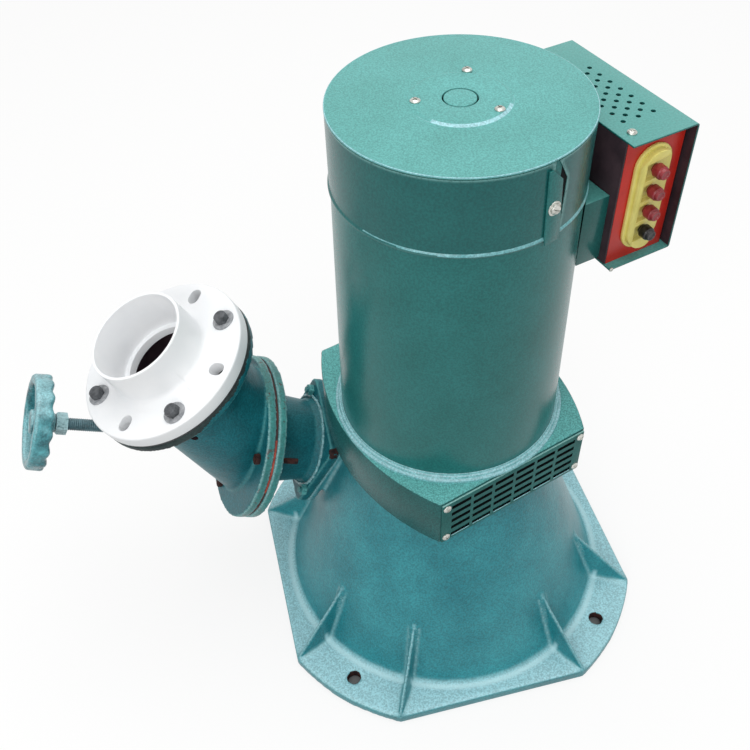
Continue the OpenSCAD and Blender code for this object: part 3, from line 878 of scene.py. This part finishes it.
def buildBox():
    a, b, low, high, t = case["inner"], case["outer"], case["low"], case["high"], case["sheet"]
    outline = rounded([(a, low), (b, low, 3), (b, high, 3), (a, high), (a, high - t), (b - t, high - t, 1.2),
                       (b - t, low + t, 1.2), (a, low + t)], steps=4)
    upright = Matrix(((1, 0, 0, 0), (0, 0, -1, 0), (0, 1, 0, 0), (0, 0, 0, 1)))
    cover = bevel(prism("boxCover", outline, -case["back"], -case["front"], boxPlace @ upright), 0.4, 1, 60)
    holes = []
    for row in range(case["holeRows"]):
        for step in range(7 - row % 2):
            x = case["boardX"] + 1 + (row - 2) * case["rowPitch"]
            y = case["firstHole"] + (step + row % 2 / 2) * case["holePitch"]
            holes.append(drill(case["holeRadius"], high - 6, high + 5, boxPlace @ shift(x, y, 0), 14))
    cut(cover, joined("holes", holes))
    dress(cover, [paints["box"], finishes["primer"]], ["box_cover"])
    paintWhere(cover, 1, lambda at, facing: facing.x < -0.8 and at.x > b - t - 1
               or facing.z < -0.8 and at.z > high - t - 1, boxPlace)
    back = case["back"] - 0.3
    walls = [block("backWall", (a, case["panelAt"], low + t + 0.2), (a + t, back, high - t - 0.2), boxPlace),
             block("endWall", (a, back - t, low + t + 0.2), (b - t - 0.4, back, high - t - 0.2), boxPlace)]
    chassis = bevel(joined("boxChassis", walls), 0.5, 2)
    dress(chassis, finishes["primer"], ["box_chassis"])
    panel = block("terminalPanel", (a + t + 0.2, case["panelAt"], low + t),
                  (b - t - 0.2 - case["panelShort"], case["panelAt"] + t, high - t), boxPlace)
    dress(bevel(panel, 0.7, 2), finishes["red"], ["terminal_panel"])
    places = [boxPlace @ shift(x, y, high) for x, y in case["topScrews"]]
    places.append(boxPlace @ shift(*case["lowScrew"]) @ spin(90, "X") @ Matrix.Scale(0.5, 4))
    fit("boxScrews", [panHead(5.2, 3.2, 40)], places, finishes["zinc"], angle=40)


def buildSaddle():
    half, steps = saddle["half"], 24
    ys = [half - k * 2 * half / steps for k in range(steps + 1)]
    outline = [(saddle["face"], -half), (saddle["face"], half)]
    outline += [(math.sqrt(saddle["curve"] ** 2 - y * y), y) for y in ys]
    piece = bevel(prism("boxSaddle", outline, saddle["low"], saddle["high"], boxPlace), 1.2, 2, 40)
    dress(piece, paints["box"], ["box_saddle"])


# terminals

terminal = dict(length=126, width=46, pitch=25, base=4, top=11.7, inset=3.5, flutes=18, pocketHalf=9.8,
                pocketEnd=-15.2, pocketFloor=5.2,
                knob=[(0, 15), (3.5, 15, 0.4), (3.9, 15.9, 0.4), (5.4, 15.9, 0.5), (6.3, 12.6, 0.5),
                      (7.3, 11.6, 0.5), (7.6, 3.8, 0.5), (6.6, 2.6, 0.5), (5.4, 2.2, 0.4), (5.2, 0), (0, 0)])


def stadium(length, width, steps=14):
    line = []
    for half, start in (((length - width) / 2, 0), ((width - length) / 2, 1)):
        for k in range(steps + 1):
            x, y, z = polar(width / 2, math.pi * (start + k / steps))
            line.append((x, half + y))
    return line


def flutedGrip(angle, radius, z):
    return 0.45 * math.cos(angle * terminal["flutes"]) if radius > 7 and 4 < z < 11 else 0


def buildBoard():
    facing = boxPlace @ shift(case["boardX"], case["panelAt"], case["boardZ"]) @ spin(90, "X")
    length, width, inset, floor = terminal["length"], terminal["width"], terminal["inset"], terminal["base"]
    base = bevel(prism("base", stadium(length, width), 0, floor, facing), 1.2, 3, 40)
    table = prism("table", stadium(length - 2 * inset, width - 2 * inset), 3.5, terminal["top"], facing)
    rows = [(place - 1.5) * terminal["pitch"] for place in range(4)]
    half = terminal["pocketHalf"]
    cut(table, joined("pockets", [block("pocket", (terminal["pocketEnd"], y - half, terminal["pocketFloor"]),
                                        (40, y + half, 20), facing) for y in rows]))
    bevel(table, 0.7, 3, 40)
    # the ridges lean back to the rim on the one side and die out on the other
    edge, high = width / 2 - inset, terminal["top"] - floor
    for vertex in table.data.vertices:
        at = facing.inverted() @ vertex.co * 1000
        drop = 5 * max(0, (-at.x - edge + 3) / 3) + 5 * max(0, (at.x - 5) / (edge - 5)) ** 1.3
        if at.z > floor:
            at.z = floor + (at.z - floor) * max(0.08, 1 - drop / high)
        vertex.co = facing @ (at / 1000)
    dress(joined("terminalBoard", [base, table]), finishes["board"], ["terminal_board"],
          angle=40)
    for number, y in enumerate(rows, 1):
        knob = turned("terminalPost%d" % number, terminal["knob"], facing @ shift(-0.5, y, 6.6), steps=108,
                      closed=False, soft=3, wobble=flutedGrip)
        colour = "black" if number == 1 else "red"
        dress(knob, finishes[colour + "Knob"], ["post_%d" % number], angle=50)


# nozzle, elbow and flanges

pipe = dict(voxel=2.2, rounds=3, share=0.7, swell=0.35, elbow=73, lining=(51, 58, 30, 52),
            weld=[(52, -88), (60.5, -87, 2), (58.5, -80, 2.5), (54, -76, 2), (50, -80)],
            rim=[(60, -20), (63.4, -22, 3), (72, -13.5, 5), (72, -12), (60, -12)], beadRadius=62.6,
            beadHeight=-84.9, flange=109, plate=86, rust=(118, 134), drainTurn=255.2, drainAt=131.1,
            drain=4.6, weepsAt=222)


def buildNozzle():
    weld = turned("weld", pipe["weld"], nozzlePlace, steps=120, soft=3,
                  wobble=lambda a, r, z: 0.9 * noise.noise(Vector((a * 9, z * 0.1, 1))))
    rim = turned("rim", pipe["rim"], nozzlePlace, steps=100)
    body = joined("nozzleCasting", [nodes["nozzle_pipe"], weld, rim])
    casting(body, pipe["voxel"], pipe["rounds"], pipe["share"], pipe["swell"])
    dress(body, [paints["pipe"], paints["rim"], finishes["rust"], finishes["primer"]], ["nozzle_pipe"],
          angle=50)
    # the plate's front corner has rusted through its paint, and the bore was never painted
    first, last = pipe["rust"]
    paintWhere(body, 2, lambda at, facing: at.z < -86 and first < azimuthOf(at) < last
               and fromAxis(at) > pipe["plate"] + 6 * noise.noise(at * 0.15), nozzlePlace)
    paintWhere(body, 3, lambda at, facing: fromAxis(at) < 57 and inward(at, facing) > 9, nozzlePlace)
    ripple = [(pipe["beadRadius"] + 2.1 * math.cos(a), pipe["beadHeight"] + 2 * math.sin(a))
              for a in [math.radians(30 * k) for k in range(12)]]
    bead = turned("weldBead", ripple, nozzlePlace, steps=220,
                  wobble=lambda a, r, z: 1.3 * noise.noise(Vector((a * 14, z * 0.15, 7))))
    dress(bead, paints["weld"], angle=60)
    # the flange's rim painted paler as painted highlight
    paintWhere(body, 1, lambda at, facing: at.z > -14 and fromAxis(at) > pipe["flange"] - 0.7, nozzlePlace)


def buildElbow():
    # the two bores meet in a thin spot on the far side: a lining inside keeps the wall whole there
    lining = collar("lining", *pipe["lining"], nozzlePlace, 80, start=-80, sweep=160)
    cut(lining, collar("outside", pipe["elbow"] - 0.6, 140, -150, 150, inletPlace, 120))
    body = joined("elbowCasting", [nodes["inlet_elbow"], lining])
    casting(body, pipe["voxel"], pipe["rounds"] + 1, pipe["share"], pipe["swell"])
    plug = inletPlace @ spin(pipe["drainTurn"]) @ shift(66, 0, pipe["drainAt"]) @ spin(90, "Y")
    cut(body, drill(pipe["drain"], 0, 14, plug, 32))
    dress(body, [paints["pipe"], paints["grime"], finishes["primer"], paints["rim"]], ["inlet_elbow"],
          angle=50)
    # the elbow flange's rim painted paler as painted highlight
    paintWhere(body, 3, lambda at, facing: 0 < at.z < 14 and fromAxis(at) > pipe["flange"], nozzlePlace)
    # the drain hole's wall painted dark as painted shade
    paintWhere(body, 2, lambda at, facing: abs(at.z) < 9 and fromAxis(at) < pipe["drain"] + 0.05, plug)

    def grimy(at, facing):
        # reaching furthest from the flange around one side, with a ragged edge
        deep = 24 + 15 * max(0, 1 - (awayFrom(pipe["weepsAt"], at) / 66) ** 2)
        return fromAxis(at) > 66 and at.z > machine["inletReach"] - deep + 3 * noise.noise(at * 0.08)

    paintWhere(body, 1, grimy, inletPlace)
    # bare walls inside
    paintWhere(body, 2, lambda at, facing: at.z < 100 and fromAxis(at) < 63 and inward(at, facing) > 9,
               nozzlePlace)
    paintWhere(body, 2, lambda at, facing: at.z > 96 and fromAxis(at) < 64 and inward(at, facing) > 0,
               inletPlace)


gasket = dict(bore=56, outer=109.5, half=1.5, inletBore=60, inletOuter=109.6, inletThick=2.9, wet=(95, 140))


def buildGaskets():
    half, low = gasket["half"], machine["inletReach"] - 20.25
    mid = collar("midGasket", gasket["bore"], gasket["outer"], -half, half, nozzlePlace, 180, 0.5,
                 wobble=lambda a, r, z: 1.4 * noise.noise(Vector((a * 7, 0, 5))) - 0.6 if r > 100 else 0)
    dress(mid, [finishes["gasket"], finishes["wetRust"]], ["mid_gasket"])
    # the run of wet rust beside the bolt
    paintWhere(mid, 1, lambda at, facing: gasket["wet"][0] < azimuthOf(at) + 9 * noise.noise(at * 0.06)
               < gasket["wet"][1], nozzlePlace)
    ring = collar("inletGasket", gasket["inletBore"], gasket["inletOuter"], low, low + gasket["inletThick"],
                  inletPlace, 180, 0.8)
    dress(ring, finishes["rubber"], ["inlet_gasket"])


inlet = dict(outer=110, thick=17.3, socket=53, bore=55, mouth=57, lip=60.8, throat=49, step=6, slotWidth=16,
             slotLength=21, flare=75, flareHigh=11, seamTurn=290.2, seamSweep=1.7)


def buildInletFlange():
    face, top = machine["inletReach"], machine["inletReach"] + inlet["socket"]
    lip, flare, high, throat = inlet["lip"], inlet["flare"], inlet["flareHigh"], inlet["throat"]
    step = face - inlet["step"]
    sweep = [(flare - (flare - lip - 0.9) * math.sin(a), face + high - high * math.cos(a))
             for a in [math.radians(6 + 78 * k / 9) for k in range(10)]]
    profile = [(throat, face - inlet["thick"]), (inlet["outer"], face - inlet["thick"], 1),
               (inlet["outer"], face, 2.5), (flare + 1, face, 1)] + sweep
    profile += [(lip, top, 1.0), (inlet["mouth"], top, 0.9), (inlet["bore"], step, 0.6), (throat, step, 0.8)]
    flange = turned("inletFlange", profile, inletPlace, steps=192, soft=5)
    hole = [(y, x) for x, y in stadium(inlet["slotLength"], inlet["slotWidth"], 12)]
    slots = [prism("slot", hole, face - 30, face + 10, inletPlace @ spin(45 * k)
                   @ shift(machine["flangeBolts"], 0, 0)) for k in range(8)]
    cut(flange, joined("slots", slots))
    # the moulding seam down the socket's foot
    outline = [(lip - 1, face + 32), (lip + 0.7, face + 26)] + [(x + 2, z + 1.8) for x, z in reversed(sweep)]
    outline += [(flare + 5, face - 0.4), (lip - 1, face - 0.4)]
    seam = turned("seam", outline, inletPlace, steps=2, start=inlet["seamTurn"], sweep=inlet["seamSweep"])
    dress(joined("inletFlange", [flange, seam]), finishes["pvc"], ["inlet_flange"], angle=30)


def seatsAt(place, turns, reach, height):
    return [place @ spin(turn) @ shift(reach, 0, height) for turn in turns]


def buildFlangeBolts():
    reach = machine["flangeBolts"]
    seats = seatsAt(inletPlace, (0, 90, 180, 270), reach, machine["inletReach"])
    head = hexPart(fixing["hexAcross"], fixing["hexHigh"], shift(0, 0, 2.2) @ spin(12), fixing["hexChamfer"])
    bolt = [head, threaded(5.6, -46, 4, 1.8, 0.6), hexPart(19, 9, shift(0, 0, -41.2))]
    fit("inletBolts", bolt, seats, finishes["bolt"])
    fit("inletWashers", [washer(fixing["washerRadius"], 6.5, 2)], seats, finishes["washer"])
    nuts = [hexPart(13, 6, shift(0, 0, 13)), hexPart(13, 4.5, shift(0, 0, -18))]
    fit("middleBolts", [threaded(4, -40, 20, 1.6, 0.5)] + nuts,
        seatsAt(nozzlePlace, fixing["seatTurns"], reach, 0), finishes["rust"])
    fit("padBolts", [hexPart(14.5, 7), threaded(4.4, 1, 10, 1.6, 0.5)],
        seatsAt(nozzlePlace, fixing["padTurns"], fixing["padReach"], fixing["padFace"]), paints["pipe"])


# spear rod and handwheel

spear = dict(radius=8, pitch=2.6, depth=0.75, threadFrom=157.5, bore=8.5, gland=(134, 12, 34),
             rod=[(5, -166), (17, -98, 6), (17, -94, 4), (8, -52, 6), (8, 158), (0, 158)])
wheel = dict(radius=59.8, rimIn=47, rimHalf=10.7, corner=4.2, lobes=15, lobe=0.9, backLobe=0.12, spokes=5,
             firstSpoke=20, voxel=1.3,
             spoke=[(13, -6.8), (30, -4.6), (49, -6), (49, 6), (30, 4.6), (13, 6.8)],
             hub=[(8.6, -20.5), (12.5, -20.5, 2), (13.5, -11, 3), (15.6, -9, 2), (15.6, 9.6, 2.5),
                  (8.6, 9.6)], nut=(24.5, 13.6, -34.8))


def buildSpear():
    rod = turned("rod", spear["rod"], steps=40, closed=False)
    thread = threaded(spear["radius"], spear["threadFrom"], machine["wheelReach"] + 9, spear["pitch"],
                      spear["depth"], 32)
    rod = joined("spearRod", [rod, thread], [nozzlePlace])
    dress(rod, paints["rod"], ["spear_rod"], "spear", 40)


def buildWheel():
    seat = nozzlePlace @ shift(0, 0, machine["wheelReach"])
    half, outer, inner, corner = wheel["rimHalf"], wheel["radius"], wheel["rimIn"], wheel["corner"]
    section = [(inner, -half, corner), (outer, -half, corner), (outer, half, corner), (inner, half, corner)]
    rim = turned("rim", section, steps=180, soft=5, wobble=lambda a, r, z: (
        wheel["lobe"] * math.cos(a * wheel["lobes"]) if r > outer - 4.8 and z < 5 else 0))
    for vertex in rim.data.vertices:  # the finger lobes swell the rim's back edge too
        if fromAxis(vertex.co) * 1000 > inner + 4 and vertex.co.z < 0:
            angle = math.atan2(vertex.co.y, vertex.co.x)
            vertex.co.z *= 1 + wheel["backLobe"] * math.cos(angle * wheel["lobes"])
    parts = [rim, turned("hub", wheel["hub"], steps=48)]
    for k in range(wheel["spokes"]):
        turn = spin(wheel["firstSpoke"] + 360 / wheel["spokes"] * k)
        parts.append(prism("spoke", wheel["spoke"], -4, 4, turn))
    piece = joined("handwheel", parts)
    casting(piece, wheel["voxel"], 4, 1, 0.3, 16)
    piece.data.transform(seat)
    dress(piece, paints["wheel"], ["handwheel"], "handwheel", 60)
    across, high, back = wheel["nut"]
    nut = cut(hexPart(across, high, shift(0, 0, back) @ spin(14)), drill(spear["bore"] - 0.05, -50, 40))
    nut = joined("wheelNut", [nut], [seat])
    dress(nut, paints["wheel"], ["wheel_nut"], body="handwheel", angle=30)
    low, high, across = spear["gland"]
    bore, foot, lip = spear["bore"], low + high - 0.5, low + high + 5
    hexagon = cut(hexPart(across, high, shift(0, 0, low)), drill(bore, 120, 170))
    neck = turned("neck", [(bore, foot), (14, foot), (14, lip, 1.5), (bore, lip)], steps=40, soft=5)
    gland = joined("glandNut", [hexagon, neck], [nozzlePlace])
    dress(gland, paints["pipe"], ["gland_nut"], angle=30)


# runner under the bell

turbine = dict(height=118, blades=20, root=49, tip=111.4, bladeHalf=8, bowl=7, thick=1.6,
               hub=[(17.7, -20), (44, -20, 3), (60, 14, 3), (17.7, 14)],
               ring=[(110, 0), (114, 0, 1), (114, 16, 1), (110, 16)])


def runnerBlade(place, across=8, down=6):
    # a bowl of even thickness, narrow at the hub and open at the ring
    rings = []
    for i in range(across + 1):
        x = turbine["root"] + (turbine["tip"] - turbine["root"]) * i / across
        belly = turbine["bowl"] * math.sin(math.pi * min(1, i / across * 1.15 + 0.05))
        ring = []
        for side, order in ((0, range(down + 1)), (turbine["thick"], range(down, -1, -1))):
            for v in [j / down * 2 - 1 for j in order]:
                y = v * turbine["bladeHalf"] + belly * (1 - v * v) - 3 + side
                ring.append((x, y, v * -9 + 3 + side * 0.6))
        rings.append(ring)
    return stacked("blade", rings, place)


def buildRunner():
    lift = shift(0, 0, turbine["height"])
    parts = [turned("hub", turbine["hub"], lift, 80), turned("ring", turbine["ring"], lift, 120, soft=3)]
    for k in range(turbine["blades"]):
        parts.append(runnerBlade(lift @ spin(360 / turbine["blades"] * k)))
    dress(joined("runnerWheel", parts), finishes["stainless"], ["runner"], angle=40)


for step in (buildBell, buildHousing, buildShell, buildBand, buildClamp, buildLid, buildBox, buildSaddle,
             buildBoard, buildNozzle, buildElbow, buildGaskets, buildInletFlange, buildFlangeBolts,
             buildSpear, buildWheel, buildRunner, buildVentScrews, buildVentPlates):
    step()
    print(step.__name__)

# these two keep their shape and only take a metal
for name, metal in (("shaft", "steel"), ("nozzle_tip", "stainless")):
    node = nodes[name]
    node.data.materials.clear()
    node.data.materials.append(finishes[metal])
